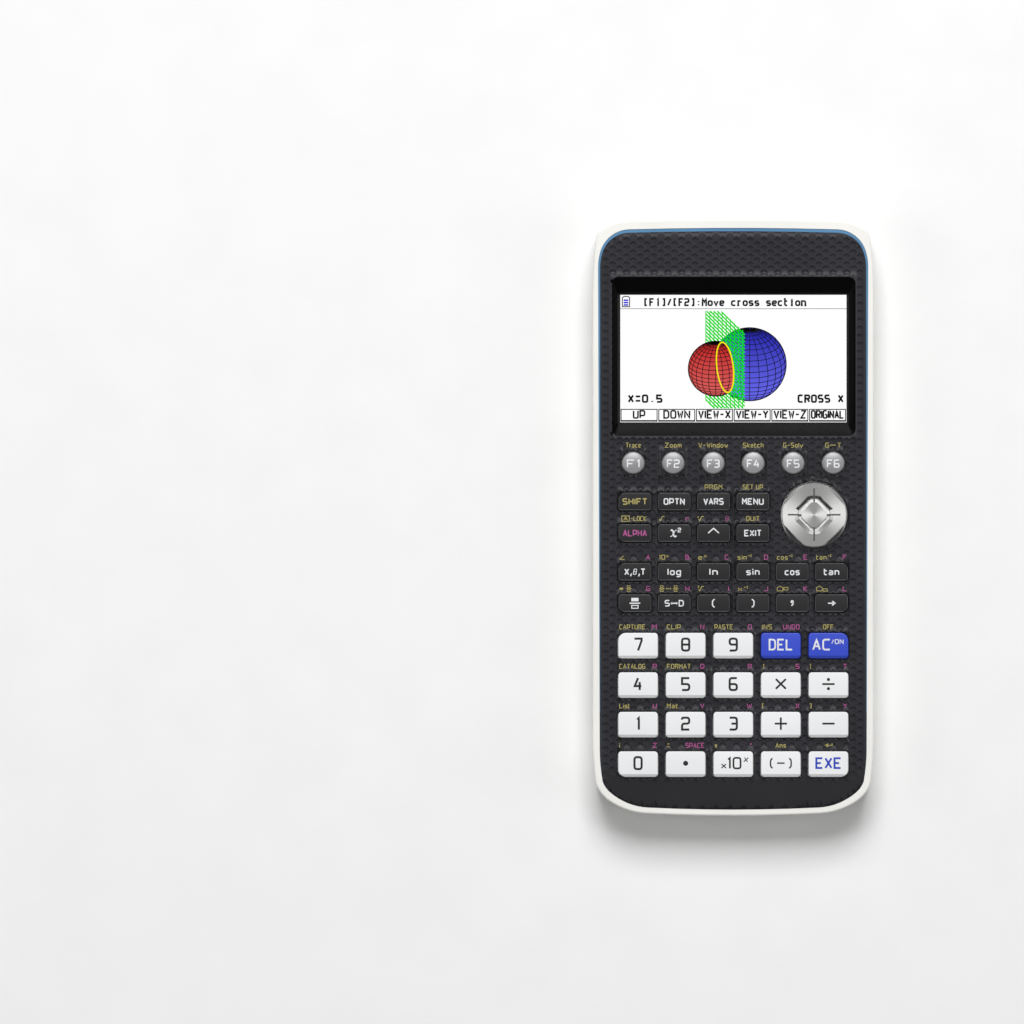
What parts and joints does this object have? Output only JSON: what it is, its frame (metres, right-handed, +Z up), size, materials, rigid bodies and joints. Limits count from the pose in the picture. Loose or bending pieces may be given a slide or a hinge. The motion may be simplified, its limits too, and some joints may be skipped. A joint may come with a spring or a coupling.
{
  "type": "graphing calculator",
  "caption": "Pocket graphing calculator with a recessed colour display, round soft keys, a brushed direction pad, dark and pale key groups and a battery cover.",
  "frame": {"origin": "on the table under the middle of the case, with the calculator lying on its back", "axes": "+X to the right of the keys, +Y along the case towards the display end, +Z up out of the key face"},
  "size_m": [0.089, 0.1892, 0.0186],
  "materials": {
    "shell_pale": "fine satin moulded ABS, slightly warm white",
    "panel_dark": "charcoal moulded plastic with a fine facet texture",
    "trim_blue": "satin light-blue moulded ring",
    "window_clear": "clear polished acrylic",
    "display": "colour display glass in a dark frame",
    "board": "green solder mask over fibreglass",
    "membrane": "grey silicone rubber",
    "cell": "plain sleeved cell with bright ends",
    "contact_metal": "nickel-plated spring steel",
    "screw_steel": "zinc-plated steel",
    "socket_metal": "tinned steel and black plastic",
    "pad_metal": "turned and brushed bright metal",
    "pivot": "black acetal",
    "key_silver": "silver paint with a lighter turned edge",
    "key_dark": "near-black moulded keytop, satin",
    "key_pale": "white moulded keytop, satin",
    "key_blue": "saturated blue moulded keytop, satin"
  },
  "bodies": {
    "casing": {"rear_cover": "shell_pale", "front_cover": "panel_dark", "accent_trim": "trim_blue", "display_window": "window_clear", "display_module": "display", "circuit_board": "board", "keypad_membrane": "membrane", "batteries": "cell", "battery_contacts": "contact_metal", "case_screws": "screw_steel", "port_sockets": "socket_metal"},
    "battery_door": {"battery_cover": "shell_pale"},
    "pad_rocker": {"cursor_pivot": "pivot"},
    "pad": {"cursor_pad": "pad_metal"},
    "f1_key": {"key_f1": "key_silver"},
    "f2_key": {"key_f2": "key_silver"},
    "f3_key": {"key_f3": "key_silver"},
    "f4_key": {"key_f4": "key_silver"},
    "f5_key": {"key_f5": "key_silver"},
    "f6_key": {"key_f6": "key_silver"},
    "shift_key": {"key_shift": "key_dark"},
    "optn_key": {"key_optn": "key_dark"},
    "vars_key": {"key_vars": "key_dark"},
    "menu_key": {"key_menu": "key_dark"},
    "alpha_key": {"key_alpha": "key_dark"},
    "square_key": {"key_square": "key_dark"},
    "power_key": {"key_power": "key_dark"},
    "exit_key": {"key_exit": "key_dark"},
    "xtheta_key": {"key_xtheta": "key_dark"},
    "log_key": {"key_log": "key_dark"},
    "ln_key": {"key_ln": "key_dark"},
    "sin_key": {"key_sin": "key_dark"},
    "cos_key": {"key_cos": "key_dark"},
    "tan_key": {"key_tan": "key_dark"},
    "fraction_key": {"key_fraction": "key_dark"},
    "sd_key": {"key_sd": "key_dark"},
    "open_key": {"key_open": "key_dark"},
    "close_key": {"key_close": "key_dark"},
    "comma_key": {"key_comma": "key_dark"},
    "arrow_key": {"key_arrow": "key_dark"},
    "7_key": {"key_7": "key_pale"},
    "8_key": {"key_8": "key_pale"},
    "9_key": {"key_9": "key_pale"},
    "del_key": {"key_del": "key_blue"},
    "ac_key": {"key_ac": "key_blue"},
    "4_key": {"key_4": "key_pale"},
    "5_key": {"key_5": "key_pale"},
    "6_key": {"key_6": "key_pale"},
    "times_key": {"key_times": "key_pale"},
    "divide_key": {"key_divide": "key_pale"},
    "1_key": {"key_1": "key_pale"},
    "2_key": {"key_2": "key_pale"},
    "3_key": {"key_3": "key_pale"},
    "plus_key": {"key_plus": "key_pale"},
    "minus_key": {"key_minus": "key_pale"},
    "0_key": {"key_0": "key_pale"},
    "point_key": {"key_point": "key_pale"},
    "exp_key": {"key_exp": "key_pale"},
    "negative_key": {"key_negative": "key_pale"},
    "exe_key": {"key_exe": "key_pale"}
  },
  "joints": [
    {"name": "battery_door_swing", "type": "hinge", "parent": "casing", "child": "battery_door", "pos_m": [0, 0.07995, 0.00105], "axis": [1, 0, 0], "range_deg": [0, 60]},
    {"name": "pad_tilt_up_down", "type": "hinge", "parent": "casing", "child": "pad_rocker", "pos_m": [0.02563, 0.00078, 0.0135], "axis": [1, 0, 0], "range_deg": [-3, 3], "stiffness_Nm_per_rad": 0.08, "deforming": ["keypad_membrane"]},
    {"name": "pad_tilt_left_right", "type": "hinge", "parent": "pad_rocker", "child": "pad", "pos_m": [0.02563, 0.00078, 0.0135], "axis": [0, 1, 0], "range_deg": [-3, 3], "stiffness_Nm_per_rad": 0.08},
    {"name": "press_f1", "type": "slide", "parent": "casing", "child": "f1_key", "axis": [0, 0, -1], "range_m": [0, 0.001], "stiffness_N_per_m": 400},
    {"name": "press_f2", "type": "slide", "parent": "casing", "child": "f2_key", "axis": [0, 0, -1], "range_m": [0, 0.001], "stiffness_N_per_m": 400},
    {"name": "press_f3", "type": "slide", "parent": "casing", "child": "f3_key", "axis": [0, 0, -1], "range_m": [0, 0.001], "stiffness_N_per_m": 400},
    {"name": "press_f4", "type": "slide", "parent": "casing", "child": "f4_key", "axis": [0, 0, -1], "range_m": [0, 0.001], "stiffness_N_per_m": 400},
    {"name": "press_f5", "type": "slide", "parent": "casing", "child": "f5_key", "axis": [0, 0, -1], "range_m": [0, 0.001], "stiffness_N_per_m": 400},
    {"name": "press_f6", "type": "slide", "parent": "casing", "child": "f6_key", "axis": [0, 0, -1], "range_m": [0, 0.001], "stiffness_N_per_m": 400},
    {"name": "press_shift", "type": "slide", "parent": "casing", "child": "shift_key", "axis": [0, 0, -1], "range_m": [0, 0.001], "stiffness_N_per_m": 400},
    {"name": "press_optn", "type": "slide", "parent": "casing", "child": "optn_key", "axis": [0, 0, -1], "range_m": [0, 0.001], "stiffness_N_per_m": 400},
    {"name": "press_vars", "type": "slide", "parent": "casing", "child": "vars_key", "axis": [0, 0, -1], "range_m": [0, 0.001], "stiffness_N_per_m": 400},
    {"name": "press_menu", "type": "slide", "parent": "casing", "child": "menu_key", "axis": [0, 0, -1], "range_m": [0, 0.001], "stiffness_N_per_m": 400},
    {"name": "press_alpha", "type": "slide", "parent": "casing", "child": "alpha_key", "axis": [0, 0, -1], "range_m": [0, 0.001], "stiffness_N_per_m": 400},
    {"name": "press_square", "type": "slide", "parent": "casing", "child": "square_key", "axis": [0, 0, -1], "range_m": [0, 0.001], "stiffness_N_per_m": 400},
    {"name": "press_power", "type": "slide", "parent": "casing", "child": "power_key", "axis": [0, 0, -1], "range_m": [0, 0.001], "stiffness_N_per_m": 400},
    {"name": "press_exit", "type": "slide", "parent": "casing", "child": "exit_key", "axis": [0, 0, -1], "range_m": [0, 0.001], "stiffness_N_per_m": 400},
    {"name": "press_xtheta", "type": "slide", "parent": "casing", "child": "xtheta_key", "axis": [0, 0, -1], "range_m": [0, 0.001], "stiffness_N_per_m": 400},
    {"name": "press_log", "type": "slide", "parent": "casing", "child": "log_key", "axis": [0, 0, -1], "range_m": [0, 0.001], "stiffness_N_per_m": 400},
    {"name": "press_ln", "type": "slide", "parent": "casing", "child": "ln_key", "axis": [0, 0, -1], "range_m": [0, 0.001], "stiffness_N_per_m": 400},
    {"name": "press_sin", "type": "slide", "parent": "casing", "child": "sin_key", "axis": [0, 0, -1], "range_m": [0, 0.001], "stiffness_N_per_m": 400},
    {"name": "press_cos", "type": "slide", "parent": "casing", "child": "cos_key", "axis": [0, 0, -1], "range_m": [0, 0.001], "stiffness_N_per_m": 400},
    {"name": "press_tan", "type": "slide", "parent": "casing", "child": "tan_key", "axis": [0, 0, -1], "range_m": [0, 0.001], "stiffness_N_per_m": 400},
    {"name": "press_fraction", "type": "slide", "parent": "casing", "child": "fraction_key", "axis": [0, 0, -1], "range_m": [0, 0.001], "stiffness_N_per_m": 400},
    {"name": "press_sd", "type": "slide", "parent": "casing", "child": "sd_key", "axis": [0, 0, -1], "range_m": [0, 0.001], "stiffness_N_per_m": 400},
    {"name": "press_open", "type": "slide", "parent": "casing", "child": "open_key", "axis": [0, 0, -1], "range_m": [0, 0.001], "stiffness_N_per_m": 400},
    {"name": "press_close", "type": "slide", "parent": "casing", "child": "close_key", "axis": [0, 0, -1], "range_m": [0, 0.001], "stiffness_N_per_m": 400},
    {"name": "press_comma", "type": "slide", "parent": "casing", "child": "comma_key", "axis": [0, 0, -1], "range_m": [0, 0.001], "stiffness_N_per_m": 400},
    {"name": "press_arrow", "type": "slide", "parent": "casing", "child": "arrow_key", "axis": [0, 0, -1], "range_m": [0, 0.001], "stiffness_N_per_m": 400},
    {"name": "press_7", "type": "slide", "parent": "casing", "child": "7_key", "axis": [0, 0, -1], "range_m": [0, 0.0012], "stiffness_N_per_m": 400},
    {"name": "press_8", "type": "slide", "parent": "casing", "child": "8_key", "axis": [0, 0, -1], "range_m": [0, 0.0012], "stiffness_N_per_m": 400},
    {"name": "press_9", "type": "slide", "parent": "casing", "child": "9_key", "axis": [0, 0, -1], "range_m": [0, 0.0012], "stiffness_N_per_m": 400},
    {"name": "press_del", "type": "slide", "parent": "casing", "child": "del_key", "axis": [0, 0, -1], "range_m": [0, 0.0012], "stiffness_N_per_m": 400},
    {"name": "press_ac", "type": "slide", "parent": "casing", "child": "ac_key", "axis": [0, 0, -1], "range_m": [0, 0.0012], "stiffness_N_per_m": 400},
    {"name": "press_4", "type": "slide", "parent": "casing", "child": "4_key", "axis": [0, 0, -1], "range_m": [0, 0.0012], "stiffness_N_per_m": 400},
    {"name": "press_5", "type": "slide", "parent": "casing", "child": "5_key", "axis": [0, 0, -1], "range_m": [0, 0.0012], "stiffness_N_per_m": 400},
    {"name": "press_6", "type": "slide", "parent": "casing", "child": "6_key", "axis": [0, 0, -1], "range_m": [0, 0.0012], "stiffness_N_per_m": 400},
    {"name": "press_times", "type": "slide", "parent": "casing", "child": "times_key", "axis": [0, 0, -1], "range_m": [0, 0.0012], "stiffness_N_per_m": 400},
    {"name": "press_divide", "type": "slide", "parent": "casing", "child": "divide_key", "axis": [0, 0, -1], "range_m": [0, 0.0012], "stiffness_N_per_m": 400},
    {"name": "press_1", "type": "slide", "parent": "casing", "child": "1_key", "axis": [0, 0, -1], "range_m": [0, 0.0012], "stiffness_N_per_m": 400},
    {"name": "press_2", "type": "slide", "parent": "casing", "child": "2_key", "axis": [0, 0, -1], "range_m": [0, 0.0012], "stiffness_N_per_m": 400},
    {"name": "press_3", "type": "slide", "parent": "casing", "child": "3_key", "axis": [0, 0, -1], "range_m": [0, 0.0012], "stiffness_N_per_m": 400},
    {"name": "press_plus", "type": "slide", "parent": "casing", "child": "plus_key", "axis": [0, 0, -1], "range_m": [0, 0.0012], "stiffness_N_per_m": 400},
    {"name": "press_minus", "type": "slide", "parent": "casing", "child": "minus_key", "axis": [0, 0, -1], "range_m": [0, 0.0012], "stiffness_N_per_m": 400},
    {"name": "press_0", "type": "slide", "parent": "casing", "child": "0_key", "axis": [0, 0, -1], "range_m": [0, 0.0012], "stiffness_N_per_m": 400},
    {"name": "press_point", "type": "slide", "parent": "casing", "child": "point_key", "axis": [0, 0, -1], "range_m": [0, 0.0012], "stiffness_N_per_m": 400},
    {"name": "press_exp", "type": "slide", "parent": "casing", "child": "exp_key", "axis": [0, 0, -1], "range_m": [0, 0.0012], "stiffness_N_per_m": 400},
    {"name": "press_negative", "type": "slide", "parent": "casing", "child": "negative_key", "axis": [0, 0, -1], "range_m": [0, 0.0012], "stiffness_N_per_m": 400},
    {"name": "press_exe", "type": "slide", "parent": "casing", "child": "exe_key", "axis": [0, 0, -1], "range_m": [0, 0.0012], "stiffness_N_per_m": 400}
  ]
}
